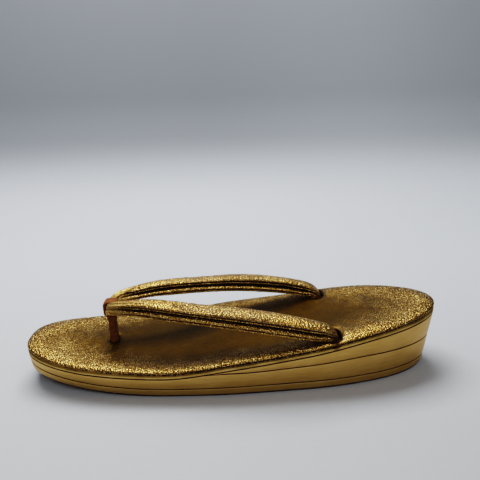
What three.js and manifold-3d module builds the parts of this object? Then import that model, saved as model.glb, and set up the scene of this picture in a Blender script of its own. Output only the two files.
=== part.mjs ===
// A women's zori: a thonged sandal with a wedge sole built up from wrapped layers.
// The stack, from the floor up, is a thin outsole, a base layer that curls up at the toe,
// a lower wedge over the whole length, an upper wedge under the heel half, and a padded footbed.
// A two-tier strap runs from one side slit, round the toe post's loop, to the other side slit.
//
// Millimetres. +X points to the toe, +Y to the wearer's left, +Z up. The floor is z = 0 and the
// origin lies on it, under the middle of the footbed's length.

import * as THREE from 'three';
import { mergeVertices } from 'three/addons/utils/BufferGeometryUtils.js';
import Module from 'manifold-3d';

const wasm = await Module();
wasm.setup();

// ---------------------------------------------------------------- driving dimensions

const LENGTH = 240;          // footbed, heel to toe
const WIDTH = 79.4;          // footbed, at its widest
const HEEL_WIDTH = 72.5;
const TOE_REACH = 136.5;     // how far back the toe's curve runs before the sides begin
const HEEL_REACH = 80;       // the same for the heel's curve
const TOE_ROUND = 2.58;      // superellipse powers: 2 is an ellipse, higher is squarer
const HEEL_ROUND = 2.03;
const WAIST = { back: -75, front: 15 };  // where the heel's width runs into the toe's
const OUTLINE_STEPS = 44;

const TOE_UNDERCUT = 1.0;    // how far the base sits inside the footbed, at the toe,
const SIDE_UNDERCUT = 4.5;   // along the sides
const HEEL_UNDERCUT = 4.7;   // and at the heel

const OUTSOLE = 1.6;         // thickness
const OUTSOLE_INSET = 0.8;   // inside the base layer's edge
const BASE = 4.4;            // thickness
const TOE_SPRING = 8.1;      // lift of the sole's underside at the toe
const SPRING_START = 35;     // where the lift begins
const WEDGE_START = 16;      // where the upper wedge's thin edge lies
const FOOTBED = 5.4;         // thickness at the middle of the sole
const BOARD = 2.9;           // the part of it that is the stiff board under the cushion
const GAP = 0.3;             // between neighbouring pieces

// Heights above the floor along the sole.
//   seat   underside of the footbed, which the foot's curve follows
//   seam   between the lower wedge and the upper one
const HEIGHTS = [
  { along: -120, seat: 34.3, seam: 19.6 },
  { along: -80, seat: 30.0, seam: 19.6 },
  { along: -40, seat: 23.6, seam: 17.5 },
  { along: 0, seat: 18.6, seam: 15.7 },
  { along: 40, seat: 13.9, seam: 13.7 },
  { along: 80, seat: 15.0, seam: 14.8 },
  { along: 120, seat: 18.9, seam: 18.7 },
];

// The strap's left arm, from the middle of the toe loop to the slit. The right arm mirrors it.
//   x, y, z  centre of the section       width, thick  its size
//   facing   direction of the outer edge in plan, degrees from +X
//   lean     how far the outer edge drops below the inner one, degrees
const ARM = [
  { x: 70.4, y: 0.0, z: 40.0, width: 5.4, thick: 6.2, facing: 0, lean: 0 },
  { x: 70.4, y: 4.3, z: 39.8, width: 5.4, thick: 6.0, facing: 6, lean: 0 },
  { x: 69.2, y: 5.6, z: 41.5, width: 5.8, thick: 6.8, facing: 40, lean: 1 },
  { x: 66.4, y: 7.4, z: 42.9, width: 7.2, thick: 6.8, facing: 64, lean: 2 },
  { x: 61.0, y: 9.4, z: 44.0, width: 9.0, thick: 6.8, facing: 71, lean: 3 },
  { x: 50.0, y: 12.5, z: 45.5, width: 11.2, thick: 7.4, facing: 73, lean: 4 },
  { x: 36.0, y: 16.6, z: 45.2, width: 12.9, thick: 8.1, facing: 74, lean: 5 },
  { x: 18.0, y: 20.9, z: 44.1, width: 13.4, thick: 7.7, facing: 78, lean: 5 },
  { x: 0.0, y: 24.5, z: 43.1, width: 13.8, thick: 8.6, facing: 80, lean: 5 },
  { x: -17.0, y: 27.0, z: 41.1, width: 13.8, thick: 8.9, facing: 84, lean: 5 },
  { x: -34.0, y: 28.5, z: 38.2, width: 13.2, thick: 8.5, facing: 87, lean: 5 },
  { x: -45.0, y: 28.9, z: 35.9, width: 12.6, thick: 7.9, facing: 90, lean: 4 },
  { x: -51.2, y: 28.6, z: 34.4, width: 11.8, thick: 6.4, facing: 90, lean: 3 },
  { x: -55.2, y: 27.9, z: 32.1, width: 10.8, thick: 4.0, facing: 90, lean: 2 },
  { x: -56.9, y: 27.5, z: 28.4, width: 10.2, thick: 3.4, facing: 90, lean: 1 },
  { x: -57.4, y: 27.4, z: 22.8, width: 10.0, thick: 3.4, facing: 90, lean: 0 },
];
const STRAP_STEPS = 34;      // sections along one arm

// The section's side, from the bottom up: two padded tiers with a groove between them.
//   inset  in from the section's edge      share  height as a share of the thickness
const STRAP_SIDE = [
  { inset: 0.9, share: 0 },
  { inset: 0, share: 0.12 },
  { inset: 0, share: 0.42 },
  { inset: 1.5, share: 0.53 },
  { inset: 1.2, share: 0.64 },
  { inset: 1.6, share: 0.84 },
  { inset: 3.2, share: 0.955 },
];
const FULL_INSET_WIDTH = 9;  // narrower sections shrink the insets in proportion

const POST = { x: 70.4, thick: 4.0, wide: 7.0, foot: 8.6 };
const LOOP_WALL = 1.3;       // the band round the strap
const LOOP_ROUND = { outside: 1.6, inside: 0.7 };
const SLIT = { x: -55.4, y: 27.8, long: 14.4, wide: 8.4, floor: 22.0 };

// ---------------------------------------------------------------- curves

// Height at x on a smooth curve through the rows, which turns level where the rows stop falling.
function heightAt(column, x) {
  const rows = HEIGHTS;
  const last = rows.length - 1;
  const at = THREE.MathUtils.clamp(x, rows[0].along, rows[last].along);
  let k = 0;
  while (k < last - 1 && at > rows[k + 1].along) k++;
  const grade = (i) => (rows[i + 1][column] - rows[i][column]) / (rows[i + 1].along - rows[i].along);
  const slope = (i) => {
    const before = grade(Math.max(i - 1, 0));
    const after = grade(Math.min(i, last - 1));
    return before * after > 0 ? (2 * before * after) / (before + after) : 0;
  };
  const span = rows[k + 1].along - rows[k].along;
  const t = (at - rows[k].along) / span;
  const rise = rows[k + 1][column] - rows[k][column];
  const bend = t * (1 - t);
  const start = slope(k) * span - rise;
  const end = rise - slope(k + 1) * span;
  return rows[k][column] + rise * t + bend * (start * (1 - t) + end * t);
}

// Lift of the sole's underside: flat to SPRING_START, then a parabola.
function springAt(x) {
  const run = Math.max(0, x - SPRING_START) / (LENGTH / 2 - SPRING_START);
  return TOE_SPRING * run * run;
}

// Half width at a distance from an outline's tip: a superellipse as far as its reach, then level.
function roundEnd(distance, reach, half, power) {
  const rest = THREE.MathUtils.clamp(1 - distance / reach, 0, 1);
  return half * (1 - rest ** power) ** (1 / power);
}

// Left half of an outline from the toe's tip to the heel's, with its points closest at both tips.
function halfOutline(toe, heel, toeHalf, heelHalf) {
  const stretch = (toe - heel) / LENGTH;
  const points = [];
  for (let i = 0; i <= OUTLINE_STEPS; i++) {
    const turn = (i / OUTLINE_STEPS) * Math.PI;
    const x = (toe + heel) / 2 + ((toe - heel) / 2) * Math.cos(turn);
    const front = roundEnd(toe - x, TOE_REACH * stretch, toeHalf, TOE_ROUND);
    const back = roundEnd(x - heel, HEEL_REACH * stretch, heelHalf, HEEL_ROUND);
    const blend = THREE.MathUtils.smoothstep(x, WAIST.back, WAIST.front);
    points.push({ x, y: THREE.MathUtils.lerp(back, front, blend) });
  }
  return points;
}

const topOutline = halfOutline(LENGTH / 2, -LENGTH / 2, WIDTH / 2, HEEL_WIDTH / 2);
const baseOutline = halfOutline(
  LENGTH / 2 - TOE_UNDERCUT,
  -LENGTH / 2 + HEEL_UNDERCUT,
  WIDTH / 2 - SIDE_UNDERCUT,
  HEEL_WIDTH / 2 - SIDE_UNDERCUT,
);

// Outward direction of the outline at point i, level with the floor.
function outward(i) {
  const last = topOutline.length - 1;
  if (i === 0) return { x: 1, y: 0 };
  if (i === last) return { x: -1, y: 0 };
  const a = topOutline[i - 1];
  const b = topOutline[i + 1];
  const size = Math.hypot(b.x - a.x, b.y - a.y);
  return { x: (b.y - a.y) / size, y: (a.x - b.x) / size };
}

// ---------------------------------------------------------------- sole layers

// A closed ring round the sole. The wall leans in towards the floor, between the two outlines.
// heightOf gives the ring's height at x, and inset moves it in from the wall.
function wallRing(heightOf, inset) {
  const half = topOutline.map((top, i) => {
    const low = baseOutline[i];
    const lowZ = springAt(low.x);
    const topZ = heightAt('seat', top.x);
    const z = heightOf(top.x);
    const share = THREE.MathUtils.clamp((z - lowZ) / (topZ - lowZ), 0, 1);
    const out = outward(i);
    return new THREE.Vector3(
      low.x + (top.x - low.x) * share - out.x * inset,
      Math.max(low.y + (top.y - low.y) * share - out.y * inset, 0),
      z,
    );
  });
  return closeRing(half);
}

// Adds the mirrored right side to a half ring whose first and last points lie on the middle line.
function closeRing(half) {
  const other = half.slice(1, -1).reverse().map((p) => new THREE.Vector3(p.x, -p.y, p.z));
  return [...half, ...other];
}

// A solid from rings stacked upwards, closed below and above by strips across the width.
function stackRings(rings) {
  const count = rings[0].length;
  const half = count / 2;
  const position = rings.flat().flatMap((p) => [p.x, p.y, p.z]);
  const index = [];
  for (let r = 0; r + 1 < rings.length; r++) {
    for (let i = 0; i < count; i++) {
      const a = r * count + i;
      const b = r * count + ((i + 1) % count);
      index.push(a, b, b + count, a, b + count, a + count);
    }
  }
  const strip = (start, flip) => {
    const face = (a, b, c) => index.push(...(flip ? [a, c, b] : [a, b, c]).map((v) => v + start));
    const mirror = (i) => count - i;
    face(0, 1, mirror(1));
    for (let i = 1; i < half - 1; i++) {
      face(i, i + 1, mirror(i + 1));
      face(i, mirror(i + 1), mirror(i));
    }
    face(half - 1, half, mirror(half - 1));
  };
  strip(0, true);
  strip((rings.length - 1) * count, false);
  const geometry = new THREE.BufferGeometry();
  geometry.setAttribute('position', new THREE.Float32BufferAttribute(position, 3));
  geometry.setIndex(index);
  return geometry;
}

// A wrapped layer between two heights, with its edges eased by the wrap.
function wrappedLayer(lowerOf, upperOf, inset = 0) {
  const EASE = 0.4;
  return stackRings([
    wallRing(lowerOf, inset + EASE),
    wallRing((x) => lowerOf(x) + EASE, inset),
    wallRing((x) => upperOf(x) - EASE, inset),
    wallRing(upperOf, inset + EASE),
  ]);
}

function outsoleGeometry() {
  const lower = (x) => springAt(x);
  const upper = (x) => springAt(x) + OUTSOLE - GAP;
  return stackRings([wallRing(lower, OUTSOLE_INSET), wallRing(upper, OUTSOLE_INSET)]);
}

function baseGeometry() {
  return wrappedLayer(
    (x) => springAt(x) + OUTSOLE,
    (x) => springAt(x) + OUTSOLE + BASE,
  );
}

function lowerWedgeGeometry() {
  return wrappedLayer(
    (x) => springAt(x) + OUTSOLE + BASE + GAP,
    (x) => (x > WEDGE_START ? heightAt('seat', x) : lowerWedgeTop(x)) - GAP,
  );
}

// The lower wedge's top leaves the footbed smoothly where the upper wedge begins.
function lowerWedgeTop(x) {
  const BLEND = 30;
  const t = THREE.MathUtils.clamp((WEDGE_START - x) / BLEND, 0, 1);
  const seat = heightAt('seat', x);
  return seat + (heightAt('seam', x) - seat) * t * (2 - t);
}

// Under the heel half only: its front is a thin edge, cut square. It starts as a slab that is
// thick enough to wrap all along the sole, and loses what lies below the seam or ahead of its edge.
function upperWedgeGeometry() {
  const LEAST = 2;
  const SPARE = 3;
  const slab = solidOf(wrappedLayer(
    (x) => Math.min(lowerWedgeTop(x), heightAt('seat', x) - LEAST),
    (x) => heightAt('seat', x) - GAP,
  ));
  const below = solidOf(wrappedLayer(() => OUTSOLE, lowerWedgeTop, -SPARE));
  const ahead = new THREE.BoxGeometry(2 * LENGTH, 2 * WIDTH, LENGTH);
  ahead.translate(WEDGE_START + LENGTH, 0, 0);
  return geometryOf(slab.subtract(below).subtract(solidOf(ahead)));
}

// Cushion over a board, in one cover: a shallow crease runs round the edge between them.
function footbedGeometry() {
  const seat = (x) => heightAt('seat', x);
  const rows = [
    { up: 0, inset: 0.6 },
    { up: 0.4, inset: 0.1 },
    { up: BOARD - 0.4, inset: 0 },
    { up: BOARD, inset: 0.5 },
    { up: BOARD + 0.4, inset: 0 },
    { up: BOARD + 0.9, inset: 0.1 },
    { up: FOOTBED - 1.0, inset: 0.6 },
    { up: FOOTBED - 0.5, inset: 1.7 },
    { up: FOOTBED - 0.2, inset: 3.4 },
    { up: FOOTBED, inset: 8.0 },
  ];
  return stackRings(rows.map(({ up, inset }) => wallRing((x) => seat(x) + up, inset)));
}

// ---------------------------------------------------------------- strap and toe post

// The strap's section: u runs to the outer edge, v up.
function strapSection({ width, thick }) {
  const reach = Math.min(1, width / FULL_INSET_WIDTH);
  const side = STRAP_SIDE.map(({ inset, share }) => (
    { u: width / 2 - inset * reach, v: (share - 0.5) * thick }
  ));
  const crown = { u: 0, v: thick / 2 };
  const other = side.map(({ u, v }) => ({ u: -u, v })).reverse();
  return [...side, crown, ...other];
}

// A table's columns as one smooth curve each, three columns to a curve.
function columnCurve(a, b, c) {
  const points = ARM.map((row) => new THREE.Vector3(row[a], row[b], row[c]));
  return new THREE.CatmullRomCurve3(points, false, 'centripetal');
}

// Sections of one arm from the loop's middle to the slit.
function armRings() {
  const path = columnCurve('x', 'y', 'z');
  const size = columnCurve('width', 'thick', 'lean');
  const rings = [];
  for (let k = 0; k <= STRAP_STEPS; k++) {
    const t = k / STRAP_STEPS;
    const centre = path.getPoint(t);
    const along = path.getTangent(t);
    const [width, thick, lean] = size.getPoint(t).toArray();
    const facing = THREE.MathUtils.degToRad(facingAt(t));
    const level = new THREE.Vector3(Math.cos(facing), Math.sin(facing), 0);
    const up = level.clone().cross(along).normalize();
    const out = along.clone().cross(up).normalize();
    const drop = THREE.MathUtils.degToRad(lean);
    const across = out.clone().multiplyScalar(Math.cos(drop)).addScaledVector(up, -Math.sin(drop));
    const normal = out.clone().multiplyScalar(Math.sin(drop)).addScaledVector(up, Math.cos(drop));
    rings.push(strapSection({ width, thick }).map(({ u, v }) => (
      centre.clone().addScaledVector(across, u).addScaledVector(normal, v)
    )));
  }
  return rings;
}

// The facing column, eased between rows.
function facingAt(t) {
  const place = t * (ARM.length - 1);
  const k = Math.min(Math.floor(place), ARM.length - 2);
  return THREE.MathUtils.lerp(ARM[k].facing, ARM[k + 1].facing, place - k);
}

// A tube of sections with flat ends.
function sweepGeometry(rings) {
  const count = rings[0].length;
  const position = rings.flat().flatMap((p) => [p.x, p.y, p.z]);
  const index = [];
  for (let r = 0; r + 1 < rings.length; r++) {
    for (let i = 0; i < count; i++) {
      const a = r * count + i;
      const b = r * count + ((i + 1) % count);
      index.push(a, b + count, b, a, a + count, b + count);
    }
  }
  const flat = strapSection(ARM[ARM.length - 1]).map(({ u, v }) => new THREE.Vector2(u, v));
  const faces = THREE.ShapeUtils.triangulateShape(flat, []);
  const end = (rings.length - 1) * count;
  for (const [a, b, c] of faces) index.push(a, b, c, a + end, c + end, b + end);
  const geometry = new THREE.BufferGeometry();
  geometry.setAttribute('position', new THREE.Float32BufferAttribute(position, 3));
  geometry.setIndex(index);
  return geometry;
}

// Both arms as one strap, which passes through the toe loop without a join.
function strapGeometry() {
  const left = armRings();
  const mirrored = left.map((ring) => ring.map((p) => new THREE.Vector3(p.x, -p.y, p.z)));
  return sweepGeometry([...mirrored.reverse().slice(0, -1), ...left]);
}

// A box outline with round corners, in the plane of the path.
function roundBox(path, side, tall, corner) {
  path.moveTo(side, corner - tall);
  path.lineTo(side, tall - corner);
  path.quadraticCurveTo(side, tall, side - corner, tall);
  path.lineTo(corner - side, tall);
  path.quadraticCurveTo(-side, tall, -side, tall - corner);
  path.lineTo(-side, corner - tall);
  path.quadraticCurveTo(-side, -tall, corner - side, -tall);
  path.lineTo(side - corner, -tall);
  path.quadraticCurveTo(side, -tall, side, corner - tall);
  return path;
}

// A shape drawn across the strap, given its depth along Y with eased edges.
function bandGeometry(shape, wide, ease) {
  const geometry = new THREE.ExtrudeGeometry(shape, {
    depth: wide - 2 * ease,
    bevelEnabled: true,
    bevelThickness: ease,
    bevelSize: ease,
    bevelOffset: -ease,
    bevelSegments: 1,
    curveSegments: 4,
  });
  geometry.translate(0, 0, ease - wide / 2);
  geometry.rotateX(Math.PI / 2);
  return geometry.translate(POST.x, 0, ARM[0].z);
}

// A band folded round the strap, whose two ends run down together as the post between the toes.
function toePostGeometry() {
  const EASE = 0.3;
  const NECK = 3;
  const side = ARM[0].width / 2 + GAP;
  const tall = ARM[0].thick / 2 + GAP;
  const loop = roundBox(new THREE.Shape(), side + LOOP_WALL, tall + LOOP_WALL, LOOP_ROUND.outside);
  loop.holes.push(roundBox(new THREE.Path(), side, tall, LOOP_ROUND.inside));
  const shoulder = -tall - LOOP_WALL / 2;
  const stem = new THREE.Shape();
  stem.moveTo(side, shoulder);
  stem.lineTo(-side, shoulder);
  stem.quadraticCurveTo(-POST.thick / 2, shoulder - NECK / 2, -POST.thick / 2, shoulder - NECK);
  stem.lineTo(-POST.thick / 2, POST.foot - ARM[0].z);
  stem.lineTo(POST.thick / 2, POST.foot - ARM[0].z);
  stem.lineTo(POST.thick / 2, shoulder - NECK);
  stem.quadraticCurveTo(POST.thick / 2, shoulder - NECK / 2, side, shoulder);
  const band = solidOf(bandGeometry(loop, POST.wide, EASE));
  return geometryOf(band.add(solidOf(bandGeometry(stem, POST.wide, EASE))));
}

// ---------------------------------------------------------------- cuts

function solidOf(geometry) {
  const WELD = 1e-4;
  const bare = new THREE.BufferGeometry();
  const source = geometry.index ? geometry.toNonIndexed() : geometry;
  bare.setAttribute('position', source.getAttribute('position'));
  const merged = mergeVertices(bare, WELD);
  return new wasm.Manifold(new wasm.Mesh({
    numProp: 3,
    vertProperties: new Float32Array(merged.attributes.position.array),
    triVerts: new Uint32Array(merged.index.array),
  }));
}

function geometryOf(solid) {
  const mesh = solid.getMesh();
  const geometry = new THREE.BufferGeometry();
  geometry.setAttribute('position', new THREE.BufferAttribute(mesh.vertProperties, 3));
  geometry.setIndex(new THREE.BufferAttribute(mesh.triVerts, 1));
  return geometry;
}

// An upright hole with round ends, long across the sole, from floorZ up through everything.
function uprightHole({ x, y, long, wide, floor }) {
  const HEADROOM = 80;
  const end = wide / 2;
  const straight = long / 2 - end;
  const shape = new THREE.Shape();
  shape.absarc(0, straight, end, 0, Math.PI, false);
  shape.absarc(0, -straight, end, Math.PI, 2 * Math.PI, false);
  shape.closePath();
  const geometry = new THREE.ExtrudeGeometry(shape, {
    depth: HEADROOM,
    bevelEnabled: false,
    curveSegments: 6,
  });
  return solidOf(geometry.translate(x, y, floor));
}

const postHole = uprightHole({
  x: POST.x,
  y: 0,
  long: POST.wide + 2 * GAP + POST.thick / 2,
  wide: POST.thick + 4 * GAP,
  floor: POST.foot - GAP,
});
const slits = [1, -1].map((side) => uprightHole({ ...SLIT, y: side * SLIT.y }));

function cut(geometry, holes) {
  const whole = solidOf(geometry);
  return geometryOf(holes.reduce((rest, hole) => rest.subtract(hole), whole));
}

// ---------------------------------------------------------------- the sandal

const FOIL = { color: 0xc8a046, metalness: 0.85 };
const crackledFoil = new THREE.MeshStandardMaterial({ ...FOIL, roughness: 0.38 });
const smoothFoil = new THREE.MeshStandardMaterial({ ...FOIL, roughness: 0.45 });
const suede = new THREE.MeshStandardMaterial({ color: 0x7a4420, roughness: 0.9 });
const soleLeather = new THREE.MeshStandardMaterial({ color: 0x3c2016, roughness: 0.7 });

function piece(name, geometry, material) {
  geometry.computeVertexNormals();
  const mesh = new THREE.Mesh(geometry, material);
  mesh.name = name;
  return mesh;
}

const zori = new THREE.Group();
zori.add(
  piece('outsole', outsoleGeometry(), soleLeather),
  piece('base_layer', baseGeometry(), smoothFoil),
  piece('lower_wedge', cut(lowerWedgeGeometry(), [postHole]), smoothFoil),
  piece('upper_wedge', cut(upperWedgeGeometry(), slits), smoothFoil),
  piece('footbed', cut(footbedGeometry(), [postHole, ...slits]), crackledFoil),
  piece('strap', strapGeometry(), crackledFoil),
  piece('toe_post', toePostGeometry(), suede),
);

export default zori;
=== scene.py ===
# %% [markdown]
# A woman's zori in gold foil leather. The real one is a stack of layers, each wrapped in foil
# leather and glued to the next, with a padded strap that comes up through the sole. Each layer,
# the strap and the toe post is a piece of its own here, so each keeps its own edges and finish.
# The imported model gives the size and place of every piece, so it is loaded first.

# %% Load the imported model
import math

import bpy
import numpy as np
from mathutils import Matrix, Vector, noise


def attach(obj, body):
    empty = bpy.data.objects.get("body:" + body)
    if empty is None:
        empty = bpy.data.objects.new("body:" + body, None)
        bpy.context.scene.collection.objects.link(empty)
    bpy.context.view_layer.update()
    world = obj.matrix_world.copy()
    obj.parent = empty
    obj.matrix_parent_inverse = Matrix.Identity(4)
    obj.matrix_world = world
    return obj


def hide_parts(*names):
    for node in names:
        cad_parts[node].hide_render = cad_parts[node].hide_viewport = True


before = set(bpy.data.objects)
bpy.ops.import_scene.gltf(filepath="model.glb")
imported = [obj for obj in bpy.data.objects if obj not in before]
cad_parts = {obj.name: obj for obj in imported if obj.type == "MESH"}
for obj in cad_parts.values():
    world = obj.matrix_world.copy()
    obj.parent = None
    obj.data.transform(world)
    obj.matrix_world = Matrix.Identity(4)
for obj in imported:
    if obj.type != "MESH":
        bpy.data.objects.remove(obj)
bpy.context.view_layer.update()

print("nodes:", sorted(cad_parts))

# %% [markdown]
# A shoemaker works in millimetres and Blender in metres, so the sizes stay in millimetres until
# a mesh is made. The shoe points along +X, its left side is +Y, and it stands on z = 0. These
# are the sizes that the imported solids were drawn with.

# %% Sizes in millimetres
MM = 0.001
LENGTH, WIDTH, HEEL_WIDTH = 240.0, 79.4, 72.5
TOE_REACH, HEEL_REACH = 136.5, 80.0  # how long each end's curve is
TOE_ROUND, HEEL_ROUND = 2.58, 2.03  # how square it is, where 2 is an ellipse
WAIST = (-75.0, 15.0)  # between these x the two curves run into each other
TOE_UNDERCUT, SIDE_UNDERCUT, HEEL_UNDERCUT = 1.0, 4.5, 4.7  # how far in the wall's foot stands
OUTSOLE, OUTSOLE_INSET, BASE = 1.6, 0.8, 4.4
TOE_SPRING, SPRING_START = 8.1, 35.0  # the tip's lift, and the x where it starts
WEDGE_START, WEDGE_BLEND, WEDGE_TIP = 16.0, 30.0, 13.8
FOOTBED, GAP = 5.4, 0.3
ALONG = np.array([-120.0, -80.0, -40.0, 0.0, 40.0, 80.0, 120.0])
SEAT = np.array([34.3, 30.0, 23.6, 18.6, 13.9, 15.0, 18.9])
SEAM = np.array([19.6, 19.6, 17.5, 15.7, 13.7, 14.8, 18.7])
SLIT = {"x": -55.4, "y": 27.8, "long": 14.4, "wide": 8.4, "floor": 22.0}
POST = {"x": 70.4, "thick": 4.0, "wide": 7.0, "foot": 8.6}
LOOP_WALL = 1.3
print("layers at the heel in mm:", OUTSOLE, BASE, round(SEAT[0] - OUTSOLE - BASE, 1), FOOTBED)

# %% [markdown]
# The sole's side view is three curves: the seat that the footbed lies on, the seam between the
# two wedges, and the underside, which lifts at the toe. A spline would do, but it could swell
# between its points, so each is a cubic that never overshoots the rows it is drawn through.

# %% Side-view curves


def through(heights, x):
    x = np.clip(np.asarray(x, float), ALONG[0], ALONG[-1])
    grade = np.diff(heights) / np.diff(ALONG)
    before, after = np.r_[grade[0], grade], np.r_[grade, grade[-1]]
    same = before * after > 0
    total = np.where(same, before + after, 1.0)
    slope = np.where(same, 2 * before * after / total, 0.0)
    k = np.clip(np.searchsorted(ALONG, x) - 1, 0, len(ALONG) - 2)
    span = ALONG[k + 1] - ALONG[k]
    t = (x - ALONG[k]) / span
    rise = heights[k + 1] - heights[k]
    start, end = slope[k] * span - rise, rise - slope[k + 1] * span
    return heights[k] + rise * t + t * (1 - t) * (start * (1 - t) + end * t)


def seat(x):
    return through(SEAT, x)


def underside(x):
    run = np.maximum(0.0, np.asarray(x, float) - SPRING_START) / (LENGTH / 2 - SPRING_START)
    return TOE_SPRING * run**2


def wedge_seam(x):
    t = np.clip((WEDGE_START - x) / WEDGE_BLEND, 0.0, 1.0)
    return seat(x) + (through(SEAM, x) - seat(x)) * t * (2 - t)


print("seat heights:", [round(float(seat(x)), 1) for x in (-110, -60, 0, 60, 110)])

# %% [markdown]
# Seen from above, toe and heel are two squarish ovals that run into each other at the waist.
# Every layer's wall stands between the footbed's outline and a smaller one on the floor, so one
# function gives a ring round the shoe at any height and any distance in from the wall.

# %% Outlines and rings


def smooth(t):
    t = np.clip(t, 0.0, 1.0)
    return t * t * (3 - 2 * t)


def round_end(distance, reach, half, power):
    rest = np.clip(1 - distance / reach, 0.0, 1.0)
    return half * (1 - rest**power) ** (1 / power)


def half_outline(toe, heel, toe_half, heel_half, turn):
    stretch = (toe - heel) / LENGTH
    x = (toe + heel) / 2 + (toe - heel) / 2 * np.cos(turn)
    front = round_end(toe - x, TOE_REACH * stretch, toe_half, TOE_ROUND)
    back = round_end(x - heel, HEEL_REACH * stretch, heel_half, HEEL_ROUND)
    blend = smooth((x - WAIST[0]) / (WAIST[1] - WAIST[0]))
    return np.stack([x, back + (front - back) * blend], 1)


def outlines(turn):
    top = half_outline(LENGTH / 2, -LENGTH / 2, WIDTH / 2, HEEL_WIDTH / 2, turn)
    low = half_outline(
        LENGTH / 2 - TOE_UNDERCUT,
        -LENGTH / 2 + HEEL_UNDERCUT,
        WIDTH / 2 - SIDE_UNDERCUT,
        HEEL_WIDTH / 2 - SIDE_UNDERCUT,
        turn,
    )
    step = np.gradient(top, axis=0)
    out = np.stack([step[:, 1], -step[:, 0]], 1)
    out /= np.linalg.norm(out, axis=1, keepdims=True)
    return top, low, out


def wall_ring(turn, z, inset):
    """Left half of a ring: z is a height for each point, and inset a distance in from the wall."""
    top, low, out = outlines(turn)
    low_z = underside(low[:, 0])
    share = np.clip((z - low_z) / (seat(top[:, 0]) - low_z), 0.0, 1.0)[:, None]
    flat = low + (top - low) * share - out * np.reshape(inset, (-1, 1))
    tips = turn % math.pi < 1e-9
    flat[tips, 1] = 0.0
    return np.column_stack([flat[:, 0], np.maximum(flat[:, 1], 0.0), z])


FULL_TURN = np.linspace(0.0, math.pi, 561)
FULL_X = outlines(FULL_TURN)[0][:, 0]
print("points round the shoe:", 2 * len(FULL_TURN) - 2)

# %% [markdown]
# A layer is a stack of such rings, closed below and above by strips across the width. Writing
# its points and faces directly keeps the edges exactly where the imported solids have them, which
# a modelled box under a subdivision surface would not.

# %% Mesh helpers


def both_sides(half):
    """The left half of a ring, then its right half from the back to the front."""
    inner = half[half[:, 1] > 1e-6]
    return np.vstack([half, inner[::-1] * (1, -1, 1)])


def mates(half):
    """For each point of the left half, the number of the point across from it."""
    off = np.flatnonzero(half[:, 1] > 1e-6)
    mate = np.arange(len(half))
    mate[off] = len(half) + len(off) - 1 - np.arange(len(off))
    return mate


def without_repeats(face):
    return [v for i, v in enumerate(face) if v != face[i - 1]]


def stack(halves, columns=1):
    """A closed skin from half rings stacked upwards. columns is how finely the top is divided."""
    rings = [both_sides(half) for half in halves]
    count, mate = len(rings[0]), mates(halves[0])
    points = list(np.vstack(rings))
    faces = []
    for r in range(len(rings) - 1):
        for i in range(count):
            a, b = r * count + i, r * count + (i + 1) % count
            faces.append((a, b, b + count, a + count))
    for i in range(len(mate) - 1):
        faces.append(without_repeats((i + 1, i, mate[i], mate[i + 1])))
    start, ring = (len(rings) - 1) * count, rings[-1]
    rows = []
    for i, m in enumerate(mate):
        row = [start + i]
        for c in range(1, columns):
            if m == i:
                row.append(start + i)
                continue
            row.append(len(points))
            points.append(ring[i] + (ring[m] - ring[i]) * (c / columns))
        rows.append([*row, start + m])
    for near, far in zip(rows, rows[1:]):
        for c in range(columns):
            face = without_repeats((near[c], far[c], far[c + 1], near[c + 1]))
            if len(face) > 2:
                faces.append(face)
    return np.array(points), faces


def rumple(points, size, seed=0.0):
    """Smooth noise from about -1 to 1 at each point, with lumps of about that size."""
    shift = Vector((seed * 17.3, seed * 5.1, seed * 9.7))
    size = np.broadcast_to(np.asarray(size, float), (3,))
    return np.array([noise.noise(Vector(p) + shift) for p in np.asarray(points) / size])


def new_piece(name, points, faces, finish, groove=None, flat=None):
    """A mesh from points in millimetres. groove is how dark each point is painted, 0 to 1, as shade
    in seams, creases and dents, and flat how smooth its foil is."""
    mesh = bpy.data.meshes.new(name)
    mesh.from_pydata((np.asarray(points) * MM).tolist(), [], [tuple(map(int, f)) for f in faces])
    for mark, values in (("groove", groove), ("flat", flat)):
        if values is not None:
            mesh.attributes.new(mark, "FLOAT", "POINT").data.foreach_set("value", np.ravel(values))
    mesh.polygons.foreach_set("use_smooth", [True] * len(mesh.polygons))
    mesh.materials.append(finish)
    piece = bpy.data.objects.new(name, mesh)
    bpy.context.scene.collection.objects.link(piece)
    triangles = sum(len(p.vertices) - 2 for p in mesh.polygons)
    print(f"{name}: {len(mesh.vertices)} points, {triangles} triangles")
    return piece


def settle(piece, node):
    """The piece rides on the shoe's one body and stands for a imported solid."""
    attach(piece, "root")
    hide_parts(node)


print("noise at three points 4 mm apart:", rumple([(x, 0, 0) for x in (3, 7, 11)], 9.0).round(2))


# %% [markdown]
# A finish is a tree of nodes, and most of it is arithmetic. Dragging out thirty Math nodes hides
# the idea, so one small class stands for a socket: adding two of them adds a node. Numbers go
# through Math nodes, and colours and directions through Vector Math, which keeps their three parts.

# %% Shader arithmetic


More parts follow.
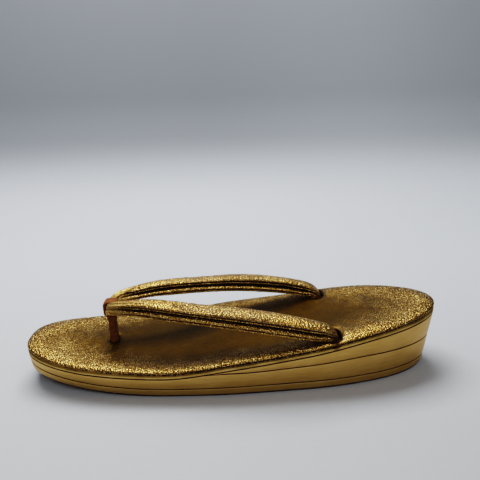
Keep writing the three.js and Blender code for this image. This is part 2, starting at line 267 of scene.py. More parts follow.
class Wire:
    """A socket that gives a value, and the tree that it belongs to."""

    def __init__(self, tree, socket=None):
        self.tree, self.socket = tree, socket

    def make(self, kind, settings=None, sockets=None, output=0):
        """Any node: its settings are set first, then its sockets get values or links."""
        node = self.tree.nodes.new(kind)
        for key, value in (settings or {}).items():
            setattr(node, key, value)
        for key, value in (sockets or {}).items():
            self.feed(node.inputs[key], value)
        return Wire(self.tree, node.outputs[output] if node.outputs else None)

    def feed(self, socket, value):
        if isinstance(value, Wire):
            self.tree.links.new(value.socket, socket)
        elif socket.type == "RGBA" and len(value) == 3:
            socket.default_value = (*value, 1.0)
        else:
            socket.default_value = value

    def wide(self):
        return self.socket.type in ("VECTOR", "RGBA")

    def sum_of(self, operation, a, b):
        if any(isinstance(v, tuple) or isinstance(v, Wire) and v.wide() for v in (a, b)):
            a, b = (v if isinstance(v, (Wire, tuple)) else (v, v, v) for v in (a, b))
            return self.make("ShaderNodeVectorMath", {"operation": operation}, {0: a, 1: b})
        return self.make("ShaderNodeMath", {"operation": operation}, {0: a, 1: b})

    def __add__(self, other):
        return self.sum_of("ADD", self, other)

    def __radd__(self, other):
        return self.sum_of("ADD", other, self)

    def __sub__(self, other):
        return self.sum_of("SUBTRACT", self, other)

    def __rsub__(self, other):
        return self.sum_of("SUBTRACT", other, self)

    def __mul__(self, other):
        return self.sum_of("MULTIPLY", self, other)

    def __rmul__(self, other):
        return self.sum_of("MULTIPLY", other, self)

    def part(self, axis):
        return self.make("ShaderNodeSeparateXYZ", sockets={0: self}, output=axis)

    def length(self):
        return self.make("ShaderNodeVectorMath", {"operation": "LENGTH"}, {0: self}, output="Value")

    def absolute(self):
        return self.make("ShaderNodeVectorMath", {"operation": "ABSOLUTE"}, {0: self})

    def mark(self, name):
        """A number kept at each point of the mesh: groove or flat."""
        return self.make("ShaderNodeAttribute", {"attribute_name": name}, output="Fac")

    def ramp(self, low, high):
        """0 below low, 1 above high, and a soft step between."""
        return self.make(
            "ShaderNodeMapRange",
            {"interpolation_type": "SMOOTHSTEP"},
            {"Value": self, "From Min": low, "From Max": high},
        )

    def blend(self, a, b):
        """Colour a where this value is 0, and colour b where it is 1."""
        return self.make(
            "ShaderNodeMix", {"data_type": "RGBA"}, {"Factor": self, 6: a, 7: b}, output=2
        )

    def noise(self, size, detail=2.0, output="Fac"):
        """Noise with lumps of about that size, on these coordinates."""
        return self.make(
            "ShaderNodeTexNoise",
            sockets={"Vector": self, "Scale": 1.0 / size, "Detail": detail},
            output=output,
        )

    def cells(self, size, feature="F1", output="Distance"):
        return self.make(
            "ShaderNodeTexVoronoi",
            {"feature": feature},
            {"Vector": self, "Scale": 1.0 / size},
            output=output,
        )


print("shader maths: +, - and * on numbers, colours and directions")

# %% [markdown]
# Every finish starts the same way: a new material, its shader, and coordinates in millimetres, so
# a pattern's size can be read as it would be measured on the real leather. They are the piece's
# own coordinates, which need no unwrapping and stay with it. Its relief goes through one bump.

# %% Start of every finish


def new_finish(name, **constants):
    """A material, a wire to start from, and its shader's sockets. Constants go on the shader."""
    material = bpy.data.materials.new(name)
    material.use_nodes = True
    shader = material.node_tree.nodes["Principled BSDF"]
    for key, value in constants.items():
        shader.inputs[key.replace("_", " ")].default_value = value
    return material, Wire(material.node_tree), shader.inputs


def in_mm(start):
    """Coordinates on the piece, in millimetres."""
    return start.make("ShaderNodeTexCoord", output="Object") * 1000.0


def emboss(start, shader, height, deep, strength):
    """A bump in which a height of 1 stands for deep millimetres."""
    sockets = {"Height": height, "Distance": deep * MM, "Strength": strength}
    start.feed(shader["Normal"], start.make("ShaderNodeBump", sockets=sockets))


print("1 mm is", MM, "m for a bump and", 1 / MM, "times that for a pattern")

# %% [markdown]
# The layers are wrapped in smooth gold foil leather. It is pulled tight round the edges, so its
# grain is drawn out into fine streaks along the wall, and the gold is a little deeper where it
# has rubbed. It is a metal to the shader, with a roughness that blurs the room into a satin.

# %% Smooth gold foil
GOLD = (0.90, 0.54, 0.165)
DEEP_GOLD = (0.74, 0.40, 0.10)
PALE_GOLD = (0.98, 0.69, 0.25)
# Dark brown painted into the layers' seams as glue and shade, and into creases, dents and slits as
# shade.
GLUE_AND_SHADE_BROWN = (0.030, 0.010, 0.005)
STREAKS = (0.09, 0.09, 1.6)


def smooth_foil(name, tone):
    material, start, shader = new_finish(name)
    place = in_mm(start)
    streaks = (place * STREAKS).noise(1.0, 4.0)
    patches = place.noise(18.0, 3.0)
    grain = place.noise(0.5, 3.0)
    deep = tuple(c * t for c, t in zip(DEEP_GOLD, tone))
    gold = tuple(c * t for c, t in zip(GOLD, tone))
    rub = (streaks * 0.45 + patches * 0.4 + grain * 0.15).ramp(0.3, 0.7)
    # Painted shade and glue line: the seams between layers turn dark brown and dull.
    seam = start.mark("groove")
    start.feed(shader["Base Color"], seam.blend(rub.blend(deep, gold), GLUE_AND_SHADE_BROWN))
    start.feed(shader["Metallic"], 1.0 - seam * 0.9)
    start.feed(shader["Roughness"], patches * 0.12 + grain * 0.12 + seam * 0.3 + 0.32)
    emboss(start, shader, streaks * 0.5 + grain * 0.5, 0.06, 0.7)
    return material


wrap = smooth_foil("smooth_gold_foil", tone=(0.74, 0.81, 0.94))
# A darker copy of the smooth foil for the base layer, as painted shade near the floor.
shaded_wrap = smooth_foil("smooth_gold_foil_base_shaded", tone=(0.66, 0.74, 0.88))
print("smooth foil: streaks about", round(1 / STREAKS[2], 1), "mm apart")

# %% [markdown]
# Footbed and strap are in crackled foil: the gold has broken into beads about a millimetre
# across with dark gaps between, so some beads flash and the rest stay dim. A plain bump from
# noise looks like hammered paint. Here every cell of a Voronoi pattern stands up as one dome,
# some higher and smoother than others. Where the foot has stood the domes are flattened by wear,
# and there the gold is painted dark brown as the foot's shade and reflection. The slits and the
# creases are painted dark as shade.

# %% Crackled gold foil
BEAD = 1.05
PLAIN_GOLD = ((0.50, 0.33, 0.10), (0.66, 0.45, 0.16))
FOOT_SHADE_GOLD = ((0.046, 0.022, 0.001), (0.082, 0.040, 0.002))
SLIT_SHADE = (2.0 / SLIT["wide"], 2.0 / SLIT["long"], 0.0)


def painted_slit_shade(place):
    """1 inside either slit and on its rim, where shade is painted, and 0 beyond."""
    mirrored = place * (1.0, 0.0, 0.0) + (place * (0.0, 1.0, 0.0)).absolute()
    off = (mirrored - (SLIT["x"], SLIT["y"], 0.0)) * SLIT_SHADE
    return 1.0 - off.length().ramp(1.05, 1.3)


def crackled_foil(name, swell, tone, gap, worn_and_shaded=None):
    """gap is the colour between beads. The last argument is an oval (centre, half size) of wear and
    painted shade.
    """
    material, start, shader = new_finish(name)
    place = in_mm(start)
    bent = place + (place.noise(0.8, 2.0, output="Color") - 0.5) * 0.5
    dome = bent.cells(BEAD)
    own = bent.cells(BEAD, output="Color")
    glint = start.make("ShaderNodeSeparateColor", sockets={0: own})
    cracks = bent.cells(BEAD, "DISTANCE_TO_EDGE").ramp(0.03, 0.32)
    crumple = place.noise(0.5, 3.0)
    patches = place.noise(9.0, 3.0)
    flat = start.mark("flat")
    raised = 1.0 - flat * 0.85
    rough = glint * 0.1 - cracks * 0.15
    body = (patches * 0.35 + crumple * 0.25 + glint * 0.4).ramp(0.25, 0.75)
    colour = cracks.blend(gap, body.blend(DEEP_GOLD, PALE_GOLD) * tone)
    colour = flat.blend(colour, patches.ramp(0.3, 0.7).blend(*PLAIN_GOLD))
    if worn_and_shaded:
        # Inside the oval the beads are flattened and smoother as wear, and the gold is painted dark
        # brown as the foot's shade and reflection.
        centre, half = worn_and_shaded
        reach = ((place - centre) * tuple(1.0 / h for h in half)).length()
        unworn_and_unshaded = (reach + patches * 0.3).ramp(0.75, 1.35)
        raised = raised * (unworn_and_unshaded * 0.92 + 0.08)
        rough = rough * unworn_and_unshaded + (1.0 - unworn_and_unshaded) * 0.08
        foot_shade = (patches * 0.3 + crumple * 0.4 + glint * 0.3).ramp(0.2, 0.8).blend(*FOOT_SHADE_GOLD)
        # The slits and their rims are painted dark brown as shade.
        colour = painted_slit_shade(place).blend(unworn_and_unshaded.blend(foot_shade, colour), GLUE_AND_SHADE_BROWN)
    height = ((1.0 - dome * dome) * (glint * 0.3 + 0.85) + crumple * 0.2) * raised
    emboss(start, shader, height, 0.45, swell)
    # Painted shade: the groove, creases, dents and the footbed's seam turn dark brown and dull.
    seam = (start.mark("groove") * (crumple * 1.6 + 0.2)).ramp(0.4, 0.7)
    start.feed(shader["Base Color"], seam.blend(colour, GLUE_AND_SHADE_BROWN))
    start.feed(shader["Metallic"], 1.0 - seam * 0.9)
    start.feed(shader["Roughness"], rough + patches * 0.1 + (seam + flat) * 0.2 + 0.29)
    return material


strap_foil = crackled_foil("crackled_gold_foil_strap", 1.0, 1.0, gap=(0.20, 0.105, 0.028))
# The footbed's copy is toned darker, with darker gaps, as painted shade on its top.
bed_foil = crackled_foil(
    "crackled_gold_foil_bed_shaded",
    0.9,
    0.87,
    gap=(0.10, 0.05, 0.012),
    worn_and_shaded=((0.0, 0.0, 25.0), (111.0, 37.0, 60.0)),
)
print("crackled foil: beads about", BEAD, "mm across")

# %% [markdown]
# The toe post is brown suede: no shine, a nap that lightens at grazing angles, and colour that
# shifts where the nap has been stroked. The outsole is plain dark leather with a fine grain.

# %% Suede and sole leather


def brown_suede():
    material, start, shader = new_finish(
        "brown_suede",
        Roughness=0.95,
        Specular_IOR_Level=0.2,
        Sheen_Weight=0.05,
        Sheen_Roughness=0.5,
        Sheen_Tint=(0.9, 0.6, 0.4, 1.0),
    )
    place = in_mm(start)
    nap = place.noise(0.35, 4.0)
    strokes = place.noise(2.6, 3.0)
    tone = (nap * 0.5 + strokes * 0.5).ramp(0.3, 0.7)
    start.feed(shader["Base Color"], tone.blend((0.11, 0.036, 0.010), (0.27, 0.10, 0.03)))
    emboss(start, shader, nap, 0.1, 0.8)
    return material


def sole_leather():
    material, start, shader = new_finish("sole_leather")
    place = in_mm(start)
    grain = place.cells(0.9)
    scuffs = place.noise(7.0, 5.0).ramp(0.4, 0.7)
    start.feed(shader["Base Color"], scuffs.blend((0.045, 0.016, 0.008), (0.10, 0.038, 0.018)))
    start.feed(shader["Roughness"], scuffs * 0.2 + 0.55)
    emboss(start, shader, grain, 0.1, 0.4)
    return material


suede, sole = brown_suede(), sole_leather()
print("finishes:", [m.name for m in (wrap, shaded_wrap, strap_foil, bed_foil, suede, sole)])

# %% [markdown]
# The outsole is a thin sheet of leather, set in a little from the layer above, so from the side
# it shows as a dark line. It lies flat as far as the ball and lifts with the toe.

# %% Outsole


def flat_layer(turn, lower, upper, inset):
    ease = 0.25
    x = outlines(turn)[0][:, 0]
    return [
        wall_ring(turn, lower(x), inset + ease),
        wall_ring(turn, lower(x) + ease, inset),
        wall_ring(turn, upper(x) - ease, inset),
        wall_ring(turn, upper(x), inset + ease),
    ]


sheet = flat_layer(FULL_TURN, underside, lambda x: underside(x) + OUTSOLE - GAP, OUTSOLE_INSET)
outsole = new_piece("sole_sheet", *stack(sheet), sole)
settle(outsole, "outsole")

# %% [markdown]
# A wrapped layer's leather turns over its edges, so they are round, and two neighbours leave a
# groove between them, painted dark brown partly as a glue line and partly as shade. The wall
# swells a hair between the edges, with small waves where the leather is glued. A bevelled box
# would have the round edge but not the waves.

# %% Wrapped layers
TURN_IN = [(0.0, 2.2), (0.02, 1.1), (0.12, 0.55), (0.3, 0.22), (0.6, 0.05), (1.0, 0.0)]
SEAM_SHADE = [1.0, 1.0, 1.0, 0.75, 0.1, 0.0]
WALL_SWELL, THINNEST = 0.10, 0.06


def outward_of(ring):
    """The level direction away from a closed ring at each of its points."""
    step = np.roll(ring, -1, axis=0) - np.roll(ring, 1, axis=0)
    size = np.hypot(step[:, 0], step[:, 1])
    size = np.where(size < 1e-9, 1.0, size)
    return np.stack([step[:, 1] / size, -step[:, 0] / size], 1)


def wrapped(name, turn, lower, upper, finish, edge=0.55, seed=0.0, dents=()):
    """A layer between two heights. edge is its rounding, and a dent is (x, z, width, depth)."""
    x = outlines(turn)[0][:, 0]
    low, high = lower(x), np.maximum(upper(x), lower(x) + THINNEST)
    ease = np.minimum(edge, (high - low) * 0.42)
    rows = [(low + ease * up, ease / edge * inset * 0.8) for up, inset in TURN_IN]
    wall = np.linspace(0.0, 1.0, 9)[1:-1]
    for share in wall:
        swell = -WALL_SWELL * math.sin(share * math.pi)
        rows.append((low + ease + (high - low - 2 * ease) * share, np.full(len(x), swell)))
    rows += [(high - ease * up, ease / edge * inset * 0.8) for up, inset in TURN_IN[::-1]]
    halves = [wall_ring(turn, z, inset) for z, inset in rows]
    points, faces = stack(halves)
    count = len(both_sides(halves[0]))
    out = outward_of(points[:count])
    for r in range(len(rows)):
        ring = points[r * count : (r + 1) * count]
        wave = 0.05 * rumple(ring, (11.0, 11.0, 7.0), seed)
        wave += 0.03 * rumple(ring, (2.5, 2.5, 6.0), seed)
        for px, pz, wide, deep in dents:
            near = np.exp(-(((ring[:, 0] - px) / wide) ** 2) - ((ring[:, 2] - pz) / wide) ** 2)
            wave -= deep * near * (ring[:, 1] > 0)
        ring[:, :2] += out * wave[:, None]
    shades = SEAM_SHADE + [0.0] * len(wall) + SEAM_SHADE[::-1]
    return new_piece(name, points, faces, finish, np.repeat(shades, count))


base = wrapped(
    "base_wrap",
    FULL_TURN,
    lambda x: underside(x) + OUTSOLE,
    lambda x: underside(x) + OUTSOLE + BASE,
    shaded_wrap,
    seed=1.0,
)
settle(base, "base_layer")

lower_wedge = wrapped(
    "lower_wedge_wrap",
    FULL_TURN,
    lambda x: underside(x) + OUTSOLE + BASE + GAP,
    lambda x: np.where(x > WEDGE_START, seat(x), wedge_seam(x)) - GAP,
    wrap,
    seed=2.0,
    dents=[(-25.0, 8.4, 0.7, 0.35), (-26.5, 10.6, 0.5, 0.15)],
)
settle(lower_wedge, "lower_wedge")

BACK_TURN = np.linspace(math.acos(WEDGE_TIP / (LENGTH / 2)), math.pi, 400)
upper_wedge = wrapped(
    "upper_wedge_wrap",
    BACK_TURN,
    wedge_seam,
    lambda x: seat(x) - GAP,
    wrap,
    edge=0.5,
    seed=3.0,
)
settle(upper_wedge, "upper_wedge")

# %% [markdown]
# The footbed is a stiff board with a thin cushion on it, in one cover. A crease runs round the
# edge where the cover is pressed in between the two, and the cover puckers there. The cushion's
# skin is stretched over foam and held down at the edge, the two slits and the post's hole. A
# cloth simulation gives that: a sheet pinned there swells under a little pressure. Its heights
# are then taken over by the finer skin that shows.

# %% Footbed skin swelled by simulation
HOLES = [
    (SLIT["x"], SLIT["y"], SLIT["long"], SLIT["wide"]),
    (SLIT["x"], -SLIT["y"], SLIT["long"], SLIT["wide"]),
    (POST["x"], 0.0, POST["wide"] + 2 * GAP + POST["thick"] / 2, POST["thick"] + 4 * GAP),
]
MOST_SWELL = 0.9
CLOTH = {
    "vertex_group_mass": "held",
    "quality": 6,
    "mass": 0.2,
    "tension_stiffness": 12.0,
    "compression_stiffness": 12.0,
    "shear_stiffness": 6.0,
    "bending_stiffness": 0.3,
    "shrink_min": -0.004,
    "use_pressure": True,
    "uniform_pressure_force": 2.5,
}
CLOTH_FRAMES = 20


def beyond_hole(points, hole):
    """Distance from a hole's rim, less than 0 inside it. A hole is long across the shoe."""
    x, y, long, wide = hole
    dy = np.maximum(np.abs(points[:, 1] - y) - (long - wide) / 2, 0.0)
    return np.hypot(points[:, 0] - x, dy) - wide / 2


def swell_sheet():
    """A coarse sheet over the footbed: its points, and how far the pressure lifts each one."""
    turn = np.linspace(0.04, math.pi - 0.04, 90)
    x = outlines(turn)[0][:, 0]
    edge = wall_ring(turn, seat(x) + FOOTBED, 2.5)
    across = np.linspace(-1.0, 1.0, 29)
    flat = np.stack([edge * (1, side, 1) for side in across], 1)
    rows, columns = flat.shape[:2]
    points = flat.reshape(-1, 3)
    faces = [
        (r * columns + c, (r + 1) * columns + c, (r + 1) * columns + c + 1, r * columns + c + 1)
        for r in range(rows - 1)
        for c in range(columns - 1)
    ]
    mesh = bpy.data.meshes.new("swell_sheet")
    mesh.from_pydata((points * MM).tolist(), [], faces)
    sheet = bpy.data.objects.new("swell_sheet", mesh)
    bpy.context.scene.collection.objects.link(sheet)
    pinned = np.zeros((rows, columns), bool)
    pinned[[0, -1]] = pinned[:, [0, -1]] = True
    held = pinned.ravel() | (np.min([beyond_hole(points, h) for h in HOLES], 0) < 1.2)
    sheet.vertex_groups.new(name="held").add(np.flatnonzero(held).tolist(), 1.0, "REPLACE")
    cloth = sheet.modifiers.new("cloth", "CLOTH")
    for key, value in CLOTH.items():
        setattr(cloth.settings, key, value)
    cloth.settings.effector_weights.gravity = 0.0
    cloth.point_cache.frame_end = CLOTH_FRAMES
    for step in range(CLOTH_FRAMES):
        bpy.context.scene.frame_set(step + 1)
    made = sheet.evaluated_get(bpy.context.evaluated_depsgraph_get()).to_mesh()
    after = np.empty(len(points) * 3)
    made.vertices.foreach_get("co", after)
    swell = after.reshape(-1, 3)[:, 2] / MM - points[:, 2]
    bpy.context.scene.frame_set(1)
    bpy.data.objects.remove(sheet)
    bpy.data.meshes.remove(mesh)
    return points, MOST_SWELL * np.tanh(swell / MOST_SWELL)


skin_points, skin_swell = swell_sheet()
print("skin swells by up to", round(float(skin_swell.max()), 2), "mm")

# %% [markdown]
# The skin that shows is a stack of rings, close together where the crease and the rolled edge
# need them, and a fine grid across the top. Puckers are pressed in along the crease: short noise
# along the edge that dies out up the roll, because a simulation this coarse would miss them. The
# cover dips into each hole before the holes are cut, which leaves a turned-in rim.

# %% Footbed
EDGE_ROWS = [
    # height over the seat, distance in from the wall
    (0.0, 2.2), (0.0, 1.0), (0.08, 0.45), (0.22, 0.15), (0.5, 0.0), (0.85, -0.05), (1.15, 0.0),
    (1.35, 0.1), (1.5, 0.35), (1.65, 0.8), (1.95, 1.4), (2.4, 1.7), (2.85, 1.3), (3.1, 0.6),
    (3.25, 0.2), (3.45, 0.0), (3.75, -0.05), (4.05, 0.1), (4.3, 0.4), (4.55, 0.85), (4.75, 1.4),
    (4.92, 2.1), (5.07, 3.0), (5.2, 4.1), (5.3, 5.4), (5.37, 6.9), (5.4, 8.6),
]
PUCKERS_AT, SHADE_AT, TOP_FROM = 3.05, 2.35, 4.4


def swell_at(points):
    """The simulated swell, averaged over a few millimetres round each point."""
    gap = np.linalg.norm(points[:, None, :2] - skin_points[None, :, :2], axis=2)
    share = np.exp(-((gap / 4.0) ** 2))
    return share @ skin_swell / share.sum(1)


def pucker_edge(points, count):
    """Puckers in the crease and small waves elsewhere, none where the grid begins."""
    out = outward_of(points[:count])
    for r, (up, inset) in enumerate(EDGE_ROWS):
        ring = points[r * count : (r + 1) * count]
        line = ring * (1, 1, 0)
        near = math.exp(-(((up - PUCKERS_AT) / 0.75) ** 2))
        pucker = rumple(line, 0.8, 4.0) * 0.16 + rumple(line, 2.1, 5.0) * 0.10
        band = rumple(line, 1.3, 6.0) * 0.05
        wave = pucker * near + band * (0.3 + near) + 0.08 * rumple(line, 12.0, 7.0)
        ring[:, :2] += out * wave[:, None] * (1 - smooth((inset - 3.0) / 5.0))
        ring[:, 2] += 0.07 * near * rumple(line, 1.6, 8.0)


def raise_top(points):
    """The cushion's swell and unevenness, and its dip into each hole."""
    on_top = points[:, 2] > seat(points[:, 0]) + TOP_FROM
    top = points[on_top]
    lift = 0.03 * rumple(top, 5.0, 9.0) + 0.06 * rumple(top, 17.0, 10.0)
    if skin_points is not None:
        lift += np.concatenate([swell_at(part) for part in np.array_split(top, 30)])
    share = np.clip((top[:, 2] - seat(top[:, 0]) - TOP_FROM) / 0.8, 0.0, 1.0)
    points[on_top, 2] += lift * share
    for hole in HOLES:
        away = np.maximum(beyond_hole(points, hole), 0.0)
        points[:, 2] -= on_top * 0.6 * np.exp(-((away / 1.3) ** 2))


def edge_marks(points, count):
    """How dark the crease is painted as shade at each point, and how smooth the board's edge under
    it.
    """
    groove, flat = np.zeros((2, len(points)))
    for r, (up, _) in enumerate(EDGE_ROWS):
        ring = slice(r * count, (r + 1) * count)
        line = points[ring] * (1, 1, 0)
        # Painted shade: the crease is dark, less so toward the toe, and the lowest rows are dark
        # where the footbed meets the wedge.
        shade = 0.85 - 0.4 * smooth((line[:, 0] - 30.0) / 60.0) + 0.5 * rumple(line, 1.0, 12.0)
        near = math.exp(-(((up - SHADE_AT) / 0.75) ** 4))
        groove[ring] = np.clip(near * shade + (up < 0.25), 0.0, 1.0)
        flat[ring] = smooth((2.5 - up) / 0.4)
    return groove, flat


def footbed_skin():
    halves = [wall_ring(FULL_TURN, seat(FULL_X) + up, inset) for up, inset in EDGE_ROWS]
    count = len(both_sides(halves[0]))
    points, faces = stack(halves, columns=44)
    pucker_edge(points, count)
    raise_top(points)
    return points, faces, bed_foil, *edge_marks(points, count)


footbed = new_piece("padded_bed", *footbed_skin())

# %% [markdown]
# The strap's ends go down through two slits and the post through a hole at the front. On the real
# shoe they are punched through the cover and the layers under it. Gaps left in the rings would
# tangle their points, so closed shapes are cut out of the finished layers instead, with a Boolean
# whose result is kept at once.

# %% Slits and the post's hole


def hole_cutter(name, hole, floor, ceiling=70.0, sides=24):
    x, y, long, wide = hole
    bend = np.linspace(0.0, math.pi, sides)
    arc = np.stack([np.cos(bend), np.sin(bend)], 1) * wide / 2
    rim = np.vstack([arc + (0, (long - wide) / 2), -arc - (0, (long - wide) / 2)]) + (x, y)
    n = len(rim)
    points = np.vstack([np.column_stack([rim, np.full(n, z)]) for z in (floor, ceiling)])
    faces = [(i, (i + 1) % n, n + (i + 1) % n, n + i) for i in range(n)]
    faces += [tuple(range(n))[::-1], tuple(range(n, 2 * n))]
    return new_piece(name, points, faces, bed_foil)


def cut_holes(piece, holes):
    for number, (hole, floor) in enumerate(holes):
        cutter = hole_cutter(f"cutter_{number}", hole, floor)
        cut = piece.modifiers.new("cut", "BOOLEAN")
        cut.operation, cut.solver, cut.object = "DIFFERENCE", "EXACT", cutter
        seen = piece.evaluated_get(bpy.context.evaluated_depsgraph_get())
        old, piece.data = piece.data, bpy.data.meshes.new_from_object(seen)
        piece.modifiers.clear()
        bpy.data.meshes.remove(old)
        bpy.data.objects.remove(cutter)
    print(piece.name, "after cutting:", len(piece.data.vertices), "points")


cut_holes(footbed, [(HOLES[0], 10.0), (HOLES[1], 10.0), (HOLES[2], 5.0)])
cut_holes(upper_wedge, [(HOLES[0], SLIT["floor"]), (HOLES[1], SLIT["floor"])])
cut_holes(lower_wedge, [(HOLES[2], POST["foot"] - GAP)])
settle(footbed, "footbed")

# %% [markdown]
# The strap is two padded tiers, one on the other, each a rolled tube of foil over cord with a
# thin lip where its cover is folded under. It is modelled directly, as a section swept along a
# path: a simulation would wipe out the lips. The path, its width, thickness and lean come from
# the rows below, from the toe loop to the slit.

# %% The strap's path
ARM = np.array([
    # x, y, z, width, thickness, facing, lean
    (70.4, 0.0, 40.0, 5.4, 6.2, 0, 0),
    (70.4, 4.3, 39.8, 5.4, 6.0, 6, 0),
    (69.2, 5.6, 41.5, 5.8, 6.8, 40, 1),
    (66.4, 7.4, 42.9, 7.2, 6.8, 64, 2),
    (61.0, 9.4, 44.0, 9.0, 6.8, 71, 3),
    (50.0, 12.5, 45.5, 11.2, 7.4, 73, 4),
    (36.0, 16.6, 45.2, 12.9, 8.1, 74, 5),
    (18.0, 20.9, 44.1, 13.4, 7.7, 78, 5),
    (0.0, 24.5, 43.1, 13.8, 8.6, 80, 5),
    (-17.0, 27.0, 41.1, 13.8, 8.9, 84, 5),
    (-34.0, 28.5, 38.2, 13.2, 8.5, 87, 5),
    (-45.0, 28.9, 35.9, 12.6, 7.9, 90, 4),
    (-51.2, 28.6, 34.4, 11.8, 6.4, 90, 3),
    (-55.2, 27.9, 32.1, 10.8, 4.0, 90, 2),
    (-56.9, 27.5, 28.4, 10.2, 3.4, 90, 1),
    (-57.4, 27.4, 22.8, 10.0, 3.4, 90, 0),
])


def bend_through(rows, t):
    """A smooth curve through rows of three numbers, at t from 0 to 1."""
    rows = np.vstack([2 * rows[0] - rows[1], rows, 2 * rows[-1] - rows[-2]])
    place = np.clip(t, 0.0, 1.0) * (len(rows) - 3)
    k = np.minimum(place.astype(int), len(rows) - 4)
    w = (place - k)[:, None]
    a, b, c, d = (rows[k + i] for i in range(4))
    steps = [np.linalg.norm(q - p, axis=1, keepdims=True) for p, q in ((a, b), (b, c), (c, d))]
    first, mid, last = np.sqrt(steps)
    mid = np.where(mid < 1e-4, 1.0, mid)
    first = np.where(first < 1e-4, mid, first)
    last = np.where(last < 1e-4, mid, last)
    leave = ((b - a) / first - (c - a) / (first + mid) + (c - b) / mid) * mid
    arrive = ((c - b) / mid - (d - b) / (mid + last) + (d - c) / last) * mid
    square, cube = 3 * (c - b) - 2 * leave - arrive, 2 * (b - c) + leave + arrive
    return b + leave * w + square * w**2 + cube * w**3


def arm_frames(sections):
    """Centres, directions and sizes of one arm's sections, evenly spaced along it."""
    fine = np.linspace(0.0, 1.0, 3000)
    track = bend_through(ARM[:, :3], fine)
    run = np.r_[0.0, np.cumsum(np.linalg.norm(np.diff(track, axis=0), axis=1))]
    t = np.interp(np.linspace(0.0, run[-1], sections), run, fine)
    centre = bend_through(ARM[:, :3], t)
    along = bend_through(ARM[:, :3], t + 1e-4) - bend_through(ARM[:, :3], t - 1e-4)
    along /= np.linalg.norm(along, axis=1, keepdims=True)
    size = bend_through(ARM[:, [3, 4, 6]], t)
    facing = np.radians(np.interp(t * (len(ARM) - 1), np.arange(len(ARM)), ARM[:, 5]))
    level = np.stack([np.cos(facing), np.sin(facing), 0 * facing], 1)
    up = np.cross(level, along)
    up /= np.linalg.norm(up, axis=1, keepdims=True)
    out = np.cross(along, up)
    drop = np.radians(size[:, 2])[:, None]
    across = out * np.cos(drop) - up * np.sin(drop)
    normal = out * np.sin(drop) + up * np.cos(drop)
    return np.linspace(0.0, run[-1], sections), centre, across, normal, size[:, :2]


ARM_SECTIONS = 280
arm_run, arm_centre, arm_across, arm_normal, arm_size = arm_frames(ARM_SECTIONS)
print("one arm is", round(arm_run[-1], 1), "mm long")

# %% [markdown]
# One side of the section, from the bottom to the crown: a thin lip, a crease, the lower roll, the
# deep groove, the upper lip, its crease, and the upper roll. Each row gives how far in from the
# edge the point is, in millimetres, and its share of the thickness. The groove is tight at the
# loop and closes again at the slit, so there is a second set of rows without it to blend to.

# %% The strap's section
OPEN_SIDE = [
    # in from the edge, share of the thickness, how dark the crease is painted as shade
    (1.8, 0.0, 0.3), (0.6, 0.005, 0), (0.1, 0.03, 0), (0.0, 0.075, 0), (0.1, 0.12, 0.1),
    (0.75, 0.15, 1), (0.6, 0.185, 0.5), (0.15, 0.235, 0.2), (0.1, 0.3, 0), (0.5, 0.37, 0),
    (1.3, 0.425, 0.2), (2.6, 0.47, 1), (3.6, 0.535, 1), (2.8, 0.59, 1), (1.8, 0.61, 1),
    (1.3, 0.625, 0.4), (1.2, 0.65, 0), (1.4, 0.672, 0.2), (2.1, 0.695, 1), (1.9, 0.72, 0.9),
    (1.5, 0.77, 0.55), (1.6, 0.84, 0.4), (2.2, 0.91, 0.2), (3.2, 0.955, 0.1),
]
SHUT_SIDE = [
    (1.8, 0.0), (0.6, 0.005), (0.1, 0.03), (0.0, 0.075), (0.1, 0.12),
    (0.5, 0.15), (0.4, 0.185), (0.18, 0.245), (0.08, 0.32), (0.2, 0.41),
    (0.5, 0.47), (0.9, 0.505), (1.15, 0.535), (1.0, 0.56), (0.75, 0.58),
    (0.6, 0.605), (0.6, 0.635), (0.75, 0.66), (1.05, 0.685), (1.0, 0.715),
    (0.95, 0.77), (1.1, 0.84), (1.8, 0.91), (3.0, 0.955),
]
CROWN = [(0.36, 0.978), (0.18, 0.996)]
MIDDLE = 0.535


def side_points(rows, width, thick, middle):
    """One side's points as (distance out, height). middle is where the groove lies, 0 to 1."""
    reach = min(1.0, width / 9.0)
    points = []
    for inset, share, *_ in rows:
        low = share < MIDDLE
        share = share * middle / MIDDLE if low else 1 - (1 - share) * (1 - middle) / (1 - MIDDLE)
        points.append((width / 2 - inset * reach, (share - 0.5) * thick))
    points += [(width / 2 * part, (share - 0.5) * thick) for part, share in CROWN]
    return points


def section(width, thick, middle, open_by):
    shut = side_points(SHUT_SIDE, width, thick, middle)
    wide = side_points(OPEN_SIDE, width, thick, middle)
    right = np.array(shut) * (1 - open_by) + np.array(wide) * open_by
    left = right[::-1] * (-1, 1)
    loop = np.vstack([right, [(0.0, thick / 2)], left, [(0.0, -thick / 2)]])
    a, b, c, d = np.roll(loop, 1, 0), loop, np.roll(loop, -1, 0), np.roll(loop, -2, 0)
    between = (9 * (b + c) - (a + d)) / 16
    return np.stack([b, between], 1).reshape(-1, 2)


groove_open = smooth((arm_run - 6.0) / 20.0) * (1 - 0.7 * smooth((arm_run - 126.0) / 10.0))
GROOVE_AT = [7, 12, 16, 21, 26, 32, 38, 44, 61, 70, 78, 86, 116, 124, 131, 137, 160]
GROOVE_SHARE = [
    0.62, 0.6, 0.555, 0.48, 0.45, 0.47, 0.515, 0.535, 0.55, 0.515, 0.475, 0.46, 0.46, 0.42, 0.41,
    0.45, 0.5,
]
groove_middle = np.interp(arm_run, GROOVE_AT, GROOVE_SHARE)
profiles = np.array([
    section(w, t, m, g) for (w, t), m, g in zip(arm_size, groove_middle, groove_open)
])
# The third column of OPEN_SIDE: painted shade in the groove and along the creases.
creases = np.array([row[2] for row in OPEN_SIDE] + [0, 0], float)
creases = np.r_[creases, 0, creases[::-1], 0]
creases = np.stack([creases, (creases + np.roll(creases, -1)) / 2], 1).ravel()
print("points round the section:", profiles.shape[1])

